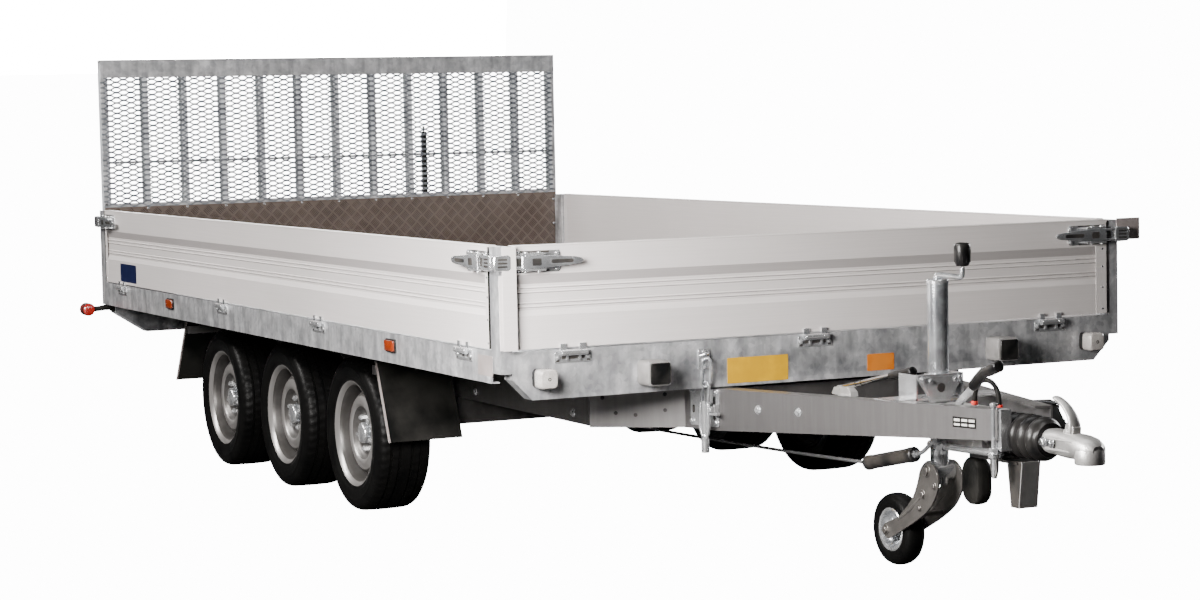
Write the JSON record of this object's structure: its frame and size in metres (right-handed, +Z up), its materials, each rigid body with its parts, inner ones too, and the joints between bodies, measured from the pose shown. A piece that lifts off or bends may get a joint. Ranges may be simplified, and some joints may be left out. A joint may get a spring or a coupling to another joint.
{
  "type": "three-axle drop-side trailer",
  "caption": "Open flatbed road trailer with folding drop sides, a mesh ramp tailgate, a low wheel group, a V drawbar, an overrun coupling and a jockey wheel.",
  "frame": {"origin": "on the ground under the middle of the whole trailer", "axes": "+X forward to the coupling, +Y to the left side, +Z up"},
  "size_m": [5.579, 2.3538, 1.583],
  "materials": {
    "aluminium": "anodised extrusion, satin",
    "amber_lens": "moulded lens",
    "black_plastic": "moulded, slightly rough",
    "black_steel": "black paint",
    "cast_steel": "zinc-plated casting",
    "chrome": "polished",
    "clear_lens": "white moulded lens on a black base",
    "galvanised": "hot-dip galvanised, dull and faintly mottled",
    "mesh_steel": "expanded metal",
    "plate_white": "blank plate",
    "plywood": "dark film-faced board with a fine anti-slip pattern",
    "red_lens": "moulded lens",
    "rubber": "matt rubber",
    "tread_plate": "raised tread pattern",
    "tyre": "black tyre rubber",
    "wheel_silver": "silver paint",
    "zinc": "bright zinc plate"
  },
  "bodies": {
    "chassis": {"axles": "galvanised", "bed_pads": "rubber", "brake_hose": "rubber", "brake_rod": "black_steel", "chassis_crossmembers": "galvanised", "coupling_bellows": "rubber", "coupling_handle": "black_plastic", "coupling_head": "cast_steel", "coupling_housing": "galvanised", "hand_pump": "zinc", "handbrake_lever": "black_plastic", "hold_down_latch": "zinc", "jockey_bracket": "zinc", "jockey_tube": "zinc", "left_chassis_beam": "galvanised", "mudflaps": "rubber", "prop_leg": "galvanised", "right_chassis_beam": "galvanised", "wheel_chock": "black_plastic"},
    "bed": {"front_beam": "galvanised", "rear_beam": "galvanised", "side_rails": "galvanised", "bed_runners": "galvanised", "runner_caps": "black_plastic", "bed_crossmembers": "galvanised", "floor": "plywood", "corner_posts": "zinc", "drop_side_hinges": "zinc", "side_markers": "amber_lens", "front_lamps": "clear_lens", "tail_lamps": "red_lens", "outline_lamps": "rubber", "blank_plates": "plate_white"},
    "left_side": {"left_panel": "aluminium", "left_panel_fittings": "zinc"},
    "right_side": {"right_panel": "aluminium", "right_panel_fittings": "zinc"},
    "front_side": {"front_panel": "aluminium", "front_panel_fittings": "zinc"},
    "tailgate": {"tailgate_frame": "galvanised", "tailgate_plate": "tread_plate", "tailgate_mesh": "mesh_steel"},
    "jockey_leg": {"jockey_leg": "zinc"},
    "jockey_fork": {"jockey_fork": "zinc"},
    "jockey_wheel": {"jockey_tyre": "tyre", "jockey_rim": "zinc"},
    "front_left_wheel": {"front_left_tyre": "tyre", "front_left_rim": "wheel_silver"},
    "front_right_wheel": {"front_right_tyre": "tyre", "front_right_rim": "wheel_silver"},
    "middle_left_wheel": {"middle_left_tyre": "tyre", "middle_left_rim": "wheel_silver"},
    "middle_right_wheel": {"middle_right_tyre": "tyre", "middle_right_rim": "wheel_silver"},
    "rear_left_wheel": {"rear_left_tyre": "tyre", "rear_left_rim": "wheel_silver"},
    "rear_right_wheel": {"rear_right_tyre": "tyre", "rear_right_rim": "wheel_silver"},
    "cylinder_barrel": {"tilt_cylinder_barrel": "black_steel"},
    "cylinder_rod": {"tilt_cylinder_rod": "chrome"}
  },
  "joints": [
    {"name": "bed_tilt", "type": "hinge", "parent": "chassis", "child": "bed", "pos_m": [-1.9195, 0, 0.52], "axis": [0, -1, 0], "range_deg": [0, 10]},
    {"name": "left_side_fold", "type": "hinge", "parent": "bed", "child": "left_side", "pos_m": [-0.6495, 1.087, 0.641], "axis": [-1, 0, 0], "range_deg": [0, 180]},
    {"name": "right_side_fold", "type": "hinge", "parent": "bed", "child": "right_side", "pos_m": [-0.6495, -1.087, 0.641], "axis": [1, 0, 0], "range_deg": [0, 180]},
    {"name": "front_side_fold", "type": "hinge", "parent": "bed", "child": "front_side", "pos_m": [1.4425, 0, 0.641], "axis": [0, 1, 0], "range_deg": [0, 100]},
    {"name": "tailgate_fold", "type": "hinge", "parent": "bed", "child": "tailgate", "pos_m": [-2.7775, 0, 0.64], "axis": [0, -1, 0], "range_deg": [0, 133]},
    {"name": "jockey_lift", "type": "slide", "parent": "chassis", "child": "jockey_leg", "axis": [0, 0, 1], "range_m": [-0.05, 0.1]},
    {"name": "jockey_fold", "type": "hinge", "parent": "jockey_leg", "child": "jockey_fork", "pos_m": [2.0405, 0, 0.3], "axis": [0, 1, 0], "range_deg": [0, 45]},
    {"name": "jockey_wheel_spin", "type": "hinge", "parent": "jockey_fork", "child": "jockey_wheel", "pos_m": [1.8205, 0, 0.105], "axis": [0, 1, 0], "continuous": true},
    {"name": "front_left_spin", "type": "hinge", "parent": "chassis", "child": "front_left_wheel", "pos_m": [-0.0785, 0.8745, 0.2625], "axis": [0, 1, 0], "continuous": true},
    {"name": "front_right_spin", "type": "hinge", "parent": "chassis", "child": "front_right_wheel", "pos_m": [-0.0785, -0.8745, 0.2625], "axis": [0, 1, 0], "continuous": true},
    {"name": "middle_left_spin", "type": "hinge", "parent": "chassis", "child": "middle_left_wheel", "pos_m": [-0.7785, 0.8745, 0.2625], "axis": [0, 1, 0], "continuous": true},
    {"name": "middle_right_spin", "type": "hinge", "parent": "chassis", "child": "middle_right_wheel", "pos_m": [-0.7785, -0.8745, 0.2625], "axis": [0, 1, 0], "continuous": true},
    {"name": "rear_left_spin", "type": "hinge", "parent": "chassis", "child": "rear_left_wheel", "pos_m": [-1.4785, 0.8745, 0.2625], "axis": [0, 1, 0], "continuous": true},
    {"name": "rear_right_spin", "type": "hinge", "parent": "chassis", "child": "rear_right_wheel", "pos_m": [-1.4785, -0.8745, 0.2625], "axis": [0, 1, 0], "continuous": true},
    {"name": "cylinder_turn", "type": "hinge", "parent": "chassis", "child": "cylinder_barrel", "pos_m": [0.9605, 0, 0.44], "axis": [0, 1, 0], "range_deg": [0, 25.5]},
    {"name": "cylinder_stroke", "type": "slide", "parent": "cylinder_barrel", "child": "cylinder_rod", "axis": [-0.9791, 0, 0.2034], "range_m": [0, 0.2057]}
  ],
  "couplings": [
    {"joint": "cylinder_turn", "follows": "bed_tilt", "ratio": 2.5401},
    {"joint": "cylinder_stroke", "follows": "bed_tilt", "m_per_rad": 1.1727}
  ]
}
